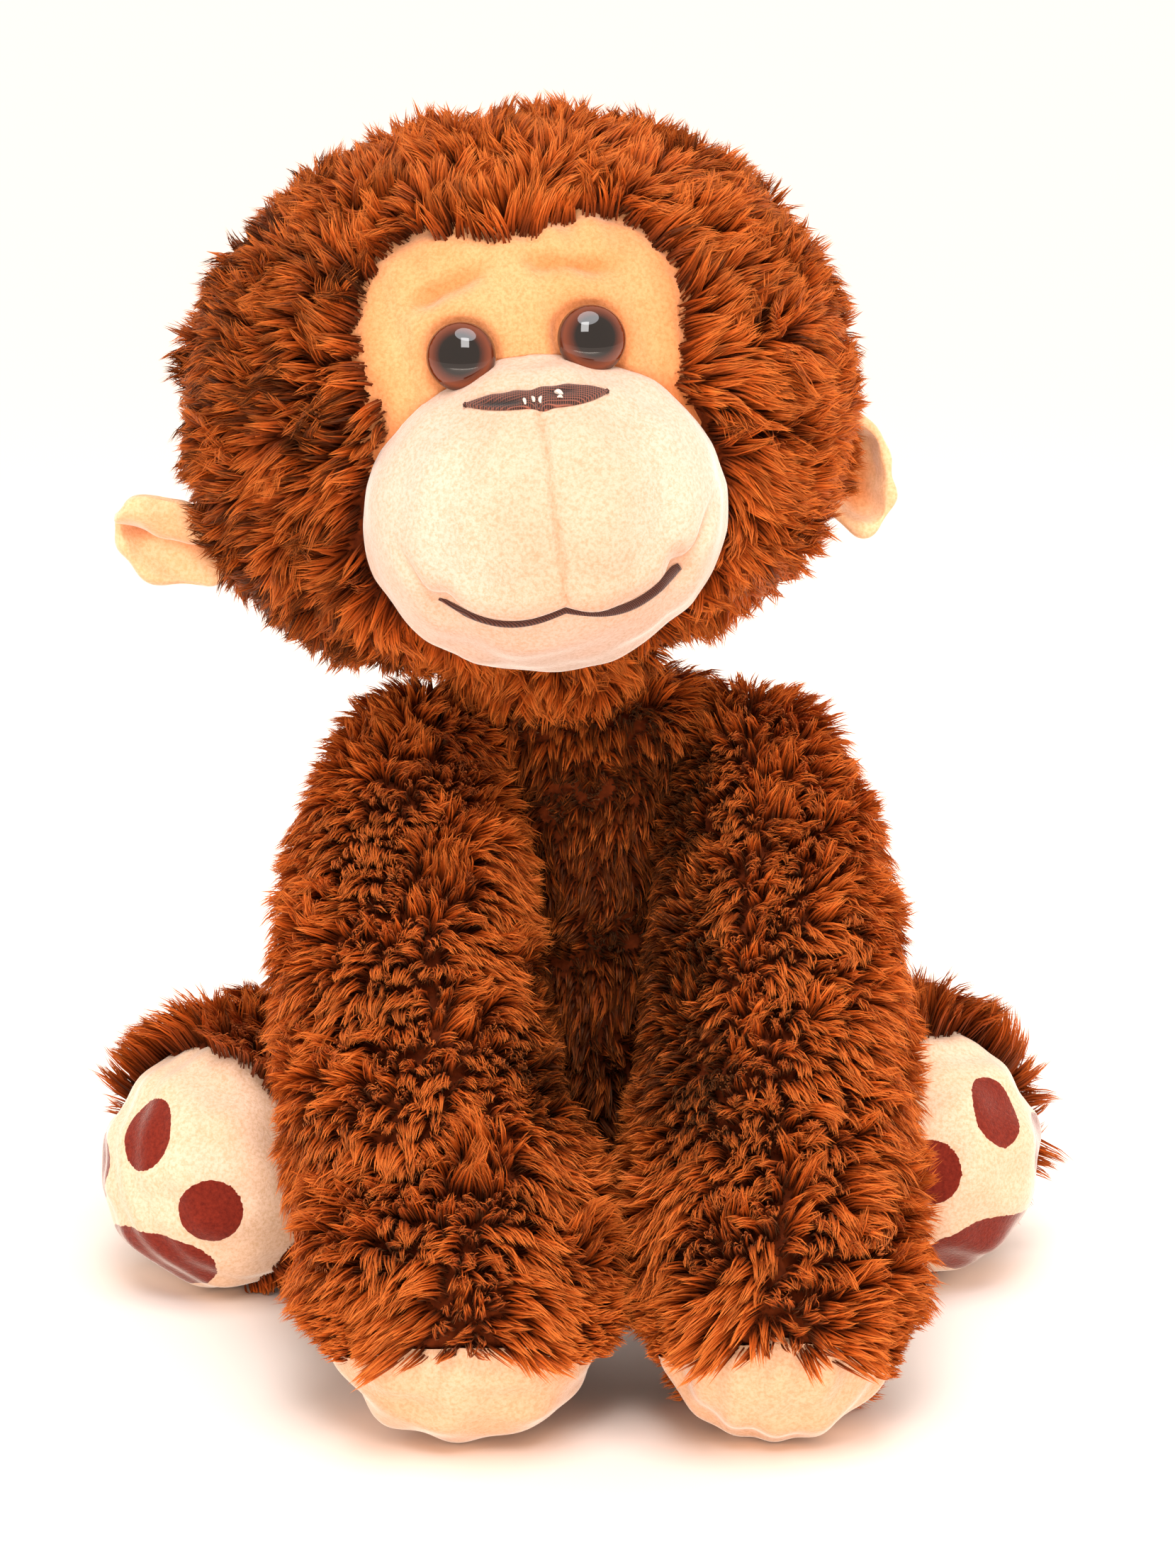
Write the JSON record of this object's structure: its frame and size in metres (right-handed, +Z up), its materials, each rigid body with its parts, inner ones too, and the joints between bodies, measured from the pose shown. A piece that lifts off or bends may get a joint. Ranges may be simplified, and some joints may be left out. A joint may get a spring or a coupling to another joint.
{
  "type": "stuffed monkey",
  "caption": "Sitting stuffed monkey with long-pile fur, a wide head, a protruding muzzle, side ears, forward arms and splayed legs with padded soles.",
  "frame": {"origin": "point of the flat seat on the floor, on the torso's middle line, 12 mm in front of the torso's axis", "axes": "+Z up from the seat to the top of the head; the toy faces -Y; +X towards the toy's own left side"},
  "size_m": [0.225, 0.2241, 0.2738],
  "materials": {
    "fur": "matte",
    "minky": "matte",
    "nose_cloth": "satin",
    "eye": "gloss",
    "washer": "satin",
    "filling": "matte",
    "label": "satin"
  },
  "bodies": {
    "torso": {"seat_panel": "fur", "belly_panel": "fur", "back_panel_left": "fur", "back_panel_right": "fur", "torso_stuffing": "filling", "care_label": "label"},
    "neck": {"neck_stuffing": "filling"},
    "head": {"head_gusset": "fur", "head_side_left": "fur", "head_side_right": "fur", "head_stuffing": "filling", "brow_patch": "minky", "muzzle_cheek_left": "minky", "muzzle_cheek_right": "minky", "muzzle_chin": "minky", "muzzle_stuffing": "filling", "nose_patch": "nose_cloth", "mouth_line": "nose_cloth", "eye_left": "eye", "eye_right": "eye", "eye_washer_left": "washer", "eye_washer_right": "washer", "ear_front_left": "minky", "ear_back_left": "minky", "ear_front_right": "minky", "ear_back_right": "minky"},
    "arm_left": {"arm_outer_left": "fur", "arm_inner_left": "fur", "palm_left": "minky", "arm_stuffing_left": "filling"},
    "arm_right": {"arm_outer_right": "fur", "arm_inner_right": "fur", "palm_right": "minky", "arm_stuffing_right": "filling"},
    "leg_left": {"leg_upper_left": "fur", "leg_lower_left": "fur", "sole_left": "minky", "leg_stuffing_left": "filling"},
    "leg_right": {"leg_upper_right": "fur", "leg_lower_right": "fur", "sole_right": "minky", "leg_stuffing_right": "filling"}
  },
  "joints": [
    {"name": "neck_turn", "type": "hinge", "parent": "torso", "child": "neck", "pos_m": [-0.009, 0.003, 0.151], "axis": [0, 0, 1], "range_deg": [-20, 20], "stiffness_Nm_per_rad": 1},
    {"name": "head_nod", "type": "hinge", "parent": "neck", "child": "head", "pos_m": [-0.009, 0.003, 0.151], "axis": [1, 0, 0], "range_deg": [-8, 9], "stiffness_Nm_per_rad": 1.5},
    {"name": "arm_swing_left", "type": "hinge", "parent": "torso", "child": "arm_left", "pos_m": [0.038, 0, 0.119], "axis": [-0.3058, -0.5842, 0.7518], "range_deg": [0, 30], "stiffness_Nm_per_rad": 0.3},
    {"name": "arm_swing_right", "type": "hinge", "parent": "torso", "child": "arm_right", "pos_m": [-0.038, 0, 0.119], "axis": [-0.2772, 0.5621, -0.7792], "range_deg": [0, 30], "stiffness_Nm_per_rad": 0.3},
    {"name": "leg_splay_left", "type": "hinge", "parent": "torso", "child": "leg_left", "pos_m": [0.047, 0.02, 0.032], "axis": [0, 0, 1], "range_deg": [-6, 18], "stiffness_Nm_per_rad": 0.3},
    {"name": "leg_splay_right", "type": "hinge", "parent": "torso", "child": "leg_right", "pos_m": [-0.051, 0.017, 0.03], "axis": [0, 0, -1], "range_deg": [-6, 18], "stiffness_Nm_per_rad": 0.3}
  ]
}
